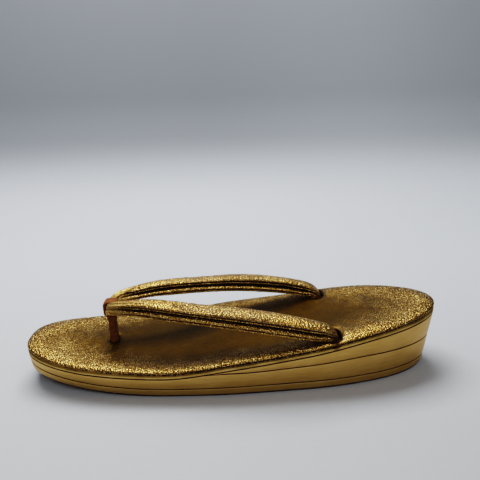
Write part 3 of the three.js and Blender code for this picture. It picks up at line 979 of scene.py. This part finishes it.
# %% [markdown]
# The cover is crushed foil over soft padding, so it is never even. Small waves run across each
# roll, the loop gathers the strap into flutes, and a few creases are placed one by one: a dent
# where the strap leaves the ball of the foot with slanting folds behind it, and on the right arm
# a hollow beside the loop. All of it moves the section's points along their own outward direction.
# Each point also gets a number for its painted shade: in the groove and creases, in dents and
# fold valleys, in specks over the crumpled middle of the crown, and on the crown's inner side.

# %% The strap's folds
DENTS = [
    # side, slant, place along and round the arm, how wide it is each way, depth
    (1, 0.5, (47.5, 0.5), (1.1, 3.4), 1.3),
    (1, 0.5, (51.0, 2.0), (0.9, 2.6), 0.8),
    (1, 0.5, (55.0, 1.5), (0.9, 2.6), 0.6),
    (-1, 0.0, (15.0, -4.0), (4.0, 2.2), 1.3),
    (-1, 0.0, (22.0, -2.0), (1.2, 3.0), 0.5),
    (-1, 0.0, (26.0, -2.5), (1.0, 3.0), 0.4),
]
SLANT = np.array([[1.0, 0.0, 0.0], [0.55, 1.0, 0.0], [0.0, 0.0, 1.0]])


def around_from_crown(profile):
    """Distance round the section from the crown: positive on the outer side, negative inside."""
    steps = np.linalg.norm(np.diff(np.vstack([profile, profile[:1]]), axis=0), axis=1)
    run = np.r_[0.0, np.cumsum(steps)][:-1]
    crown, total = int(np.argmax(profile[:, 1])), steps.sum()
    return (run[crown] - run + total / 2) % total - total / 2


def folds_at(side, run, around, height):
    """How far the cover stands out round one section, less than 0 in a dent."""
    seed = 20.0 + side
    place = np.column_stack([np.full(len(around), run), around, 0 * around])
    waves = 0.07 * rumple(place, (1.7, 5.0, 1.0), seed)
    waves += 0.08 * rumple(place, (4.5, 6.0, 1.0), seed + 1)
    folds = 0.5 * rumple(place @ SLANT, (1.9, 9.0, 1.0), seed + 2)
    folds *= math.exp(-(((run - 52.0) / 16.0) ** 2)) * smooth((height - 0.55) / 0.2)
    flutes = 0.3 * np.sin(around * 1.9 + side) * math.exp(-(((run - 12.0) / 8.0) ** 2))
    total = waves + folds + flutes * smooth((height - 0.5) / 0.2)
    for dent_side, lean, at, wide, deep in DENTS:
        if dent_side == side:
            along = (run - lean * around - at[0]) / wide[0]
            total -= deep * np.exp(-(along**2) - ((around - at[1]) / wide[1]) ** 2)
    return total


def marks_at(k, around, height, hollow):
    """How much painted shade each point of section k gets, from 0 to 1."""
    crown, run = smooth((height - 0.62) / 0.1), arm_run[k]
    seams = creases * (0.35 + 0.65 * groove_open[k])
    # Painted shade: specks over the crown's crumpled middle, deepened as shade, and the crown's
    # inner side toward the slit, darkened as the foot's shade.
    crumpled_and_shaded = 0.5 * crown * smooth((run - 46.0) / 5.0) * (1 - smooth((run - 98.0) / 14.0))
    foot_shade = 0.4 * crown * smooth((-0.2 - around) / 2.0) * smooth((run - 55.0) / 15.0)
    return np.max([seams, hollow, crumpled_and_shaded, foot_shade], axis=0)


def arm_points(side):
    """Each section's points and their painted shade. side is 1 for the left arm, -1 for the right.
    """
    sections, marks = [], []
    for k, (run, profile) in enumerate(zip(arm_run, profiles)):
        around = around_from_crown(profile)
        height = profile[:, 1] / arm_size[k, 1] + 0.5
        free = float(smooth((run - 5.0) / 6.0) * (1 - smooth((run - 138.0) / 5.0)))
        total = folds_at(side, run, around, height)
        # Dents and fold valleys get painted shade.
        marks.append(marks_at(k, around, height, np.clip(-total - 0.35, 0.0, 0.7) * free))
        profile = profile + outward_of(profile) * (total * free)[:, None]
        point = arm_centre[k] + arm_across[k] * profile[:, :1] + arm_normal[k] * profile[:, 1:]
        sections.append(point * (1, side, 1))
    return sections, marks


right_arm, right_marks = arm_points(-1)
left_arm, left_marks = arm_points(1)
print("darkest and middle mark:", np.round([np.max(left_marks), np.median(left_marks)], 2))

# %% [markdown]
# The strap is one piece from slit to slit, so the sections of both arms are put in one row before
# they get faces. A Mirror modifier would be shorter, but it would make the arms alike, and each
# has its own folds. Near the loop the foil is pulled tight, so it is smoother there.

# %% The finished strap


def sweep(sections):
    count, faces = len(sections[0]), []
    for r in range(len(sections) - 1):
        for i in range(count):
            a, b = r * count + i, r * count + (i + 1) % count
            faces.append((a, a + count, b + count, b))
    end = (len(sections) - 1) * count
    faces.append(tuple(range(count)))
    faces.append(tuple(range(end, end + count))[::-1])
    return np.vstack(sections), faces


def through_loop(right, left):
    """Both arms in one row, from the right end through the loop to the left end."""
    return np.concatenate([right[:0:-1], left])


tight = 0.6 * (1 - smooth((arm_run - 8.0) / 16.0))
strap = new_piece(
    "strap_cover",
    *sweep(through_loop(right_arm, left_arm)),
    strap_foil,
    through_loop(right_marks, left_marks),
    np.repeat(through_loop(tight, tight), len(creases)),
)
settle(strap, "strap")

# %% [markdown]
# The toe post is one band of suede folded round the strap, its two ends running down together
# between the toes into the sole. The loop is a flat band swept round a rounded box, and the post
# is a stack of thin oblongs that narrows below the loop, with the line between the two ends down
# its sides. Soft edges and a slight unevenness keep it from looking cut from wood.

# %% Toe post


def rounded_box(side, tall, corner, steps=7):
    """A closed outline in the shoe's side view, from the bottom right corner round to the left."""
    points = []
    for sx, sz, turn in ((1, -1, -90), (1, 1, 0), (-1, 1, 90), (-1, -1, 180)):
        for a in np.radians(np.linspace(turn, turn + 90, steps)):
            x = sx * (side - corner) + corner * math.cos(a)
            points.append((x, sz * (tall - corner) + corner * math.sin(a)))
    return np.array(points)


def loop_band():
    side, tall = ARM[0, 3] / 2 + GAP, ARM[0, 4] / 2 + GAP
    inner = rounded_box(side, tall, 1.4)
    outer = rounded_box(side + LOOP_WALL, tall + LOOP_WALL, 2.6)
    half, ease = POST["wide"] / 2, 0.35
    edge = [
        (0.0, half - ease), (0.15, half - 0.1), (0.5, half), (0.85, half - 0.1), (1.0, half - ease),
        (1.06, half / 2),
    ]
    rows = []
    for share, y in [(s, -y) for s, y in edge] + [(1.08, 0.0)] + edge[::-1]:
        ring = inner + (outer - inner) * share
        rows.append(np.column_stack([ring[:, 0], np.full(len(ring), y), ring[:, 1]]))
    count, faces = len(inner), []
    points = np.vstack(rows) + (POST["x"], 0.0, ARM[0, 2])
    for r in range(len(rows)):
        for i in range(count):
            a, b = r * count + i, r * count + (i + 1) % count
            c = (r + 1) % len(rows) * count
            faces.append((a, c + i, c + (i + 1) % count, b))
    return points, faces


def post_stem():
    top = ARM[0, 2] - ARM[0, 4] / 2 - GAP - 0.4
    levels = np.r_[np.linspace(POST["foot"], top - 3.5, 26), np.linspace(top - 3.2, top, 9)]
    flare = smooth((levels - (top - 3.5)) / 3.5)
    rings = []
    for z, wide_by in zip(levels, flare):
        ring = rounded_box(POST["wide"] / 2 + 0.1, POST["thick"] / 2 + 1.0 * wide_by, 0.8, 5)
        split = np.exp(-((ring[:, 1] / 0.45) ** 2)) * (np.abs(ring[:, 0]) > POST["wide"] / 2 - 0.9)
        ring[:, 0] -= np.sign(ring[:, 0]) * 0.5 * split
        waist = 1 - 0.05 * math.sin((z - levels[0]) / (top - levels[0]) * math.pi)
        x, y = ring[:, 1] + POST["x"], ring[:, 0] * waist
        rings.append(np.column_stack([x, y, np.full(len(ring), z)]))
    return sweep(rings)


def suede_post():
    band, band_faces = loop_band()
    stem, stem_faces = post_stem()
    points = np.vstack([band, stem])
    points += 0.12 * rumple(points, 2.4, 30.0)[:, None] * (1, 0.6, 1)
    return points, band_faces + [tuple(v + len(band) for v in f) for f in stem_faces]


post = new_piece("toe_post_suede", *suede_post(), suede)
soften = post.modifiers.new("soften", "SUBSURF")
soften.levels = soften.render_levels = 1
settle(post, "toe_post")

# %% [markdown]
# The shoe stands on pale paper that sweeps up behind it. Foil shows what is round it more than it
# shows its own colour, so the paper matters too. Its tints are painted light and shade: pale
# beside the shoe, paler and cooler behind it, darker toward the camera and on the heel's side,
# and grey up the wall, lighter on the heel's side.

# %% Paper sweep


def paper():
    material, start, shader = new_finish("pale_paper", Roughness=0.85)
    place = start.make("ShaderNodeTexCoord", output="Object")
    tooth = place.noise(0.004, 3.0) * 0.06 + 0.97
    rise = place.part("Z").ramp(0.0, 0.08)
    # Painted light and shade: the floor darkens toward the camera and the heel's side, and the wall
    # toward the toe's side.
    back = (place.part("Y") * -1.0).ramp(-0.3, 0.2)
    toe_side = place.part("X").ramp(-0.25, 0.05)
    near = toe_side.blend((0.31, 0.31, 0.305), (0.475, 0.476, 0.47))
    floor = back.blend(near, (0.585, 0.605, 0.64)) * tooth
    wall = toe_side.blend((0.31, 0.33, 0.355), (0.245, 0.26, 0.28))
    start.feed(shader["Base Color"], rise.blend(floor, wall))
    return material


def paper_sweep():
    near, far, rise, bend = 1.6, -0.35, 1.2, 0.16
    curve = [(near, 0.0), (0.4, 0.0), (0.0, 0.0)]
    for a in np.radians(np.linspace(0, 80, 17)):
        curve.append((far - bend * math.sin(a), bend * (1 - math.cos(a))))
    curve.append((curve[-1][0] - 0.2, rise))
    n = len(curve)
    points = [(x, y, z) for x in (-2.2, 2.2) for y, z in curve]
    faces = [(i, i + 1, n + i + 1, n + i) for i in range(n - 1)]
    return np.array(points) / MM, faces


sweep_paper = new_piece("paper_sweep", *paper_sweep(), paper())

# %% [markdown]
# The main light is large and hangs above, a little behind the shoe and to its toe's side, so beads
# on the top and the strap flash and the shadow falls softly to the front. A weak one in front
# lifts the walls. A small light would put a hard spark on every bead. The world adds a grey room
# round them, brighter overhead.

# %% Lights and room


def soft_light(name, place, size, power, colour=(1.0, 1.0, 1.0)):
    """A rectangular light aimed at the shoe's middle."""
    data = bpy.data.lights.new(name, "AREA")
    data.shape, data.size, data.size_y = "RECTANGLE", *size
    data.energy, data.color = power, colour
    light = bpy.data.objects.new(name, data)
    light.location = place
    light.rotation_euler = (-Vector(place)).to_track_quat("-Z", "Y").to_euler()
    bpy.context.scene.collection.objects.link(light)
    print(name, "light:", power, "W")


soft_light("overhead", (0.12, -0.32, 0.83), (0.66, 0.48), 8.9, (0.97, 0.985, 1.0))
soft_light("front", (-0.1, 0.55, 0.5), (0.5, 0.3), 1.0)

world = bpy.data.worlds.new("room")
bpy.context.scene.world = world
world.use_nodes = True
room = Wire(world.node_tree)
direction = room.make("ShaderNodeTexCoord", output="Generated")
height = room.make("ShaderNodeSeparateXYZ", sockets={0: direction}, output="Z")
glow = height.ramp(0.0, 1.0).blend((0.08, 0.08, 0.083), (0.19, 0.197, 0.21))
room.feed(world.node_tree.nodes["Background"].inputs["Color"], glow)

# %% [markdown]
# The camera stands at the shoe's left side, a hand's width above it, looking slightly down.

# %% Camera
EYE = (1.208, 285.042, 173.924)
yaw, pitch, roll = -0.026, 0.322, -0.027
level_view = np.array([math.sin(yaw), -math.cos(yaw), 0.0])
ahead = level_view * math.cos(pitch) - (0.0, 0.0, math.sin(pitch))
level = np.array([-math.cos(yaw), -math.sin(yaw), 0.0])
upright = np.cross(level, ahead)
right = math.cos(roll) * level + math.sin(roll) * upright
above = math.cos(roll) * upright - math.sin(roll) * level

camera = bpy.data.objects.new("camera", bpy.data.cameras.new("camera"))
camera.data.sensor_width, camera.data.lens = 36.0, 39.69
camera.data.clip_start = 0.01
turned = Matrix(np.column_stack([right, above, -ahead]).tolist()).to_4x4()
camera.matrix_world = Matrix.Translation(Vector(EYE) * MM) @ turned
bpy.context.scene.collection.objects.link(camera)
bpy.context.scene.camera = camera
bpy.context.scene.view_settings.view_transform = "Filmic"
bpy.context.scene.view_settings.look = "High Contrast"
print("camera at", [round(v, 3) for v in camera.location])
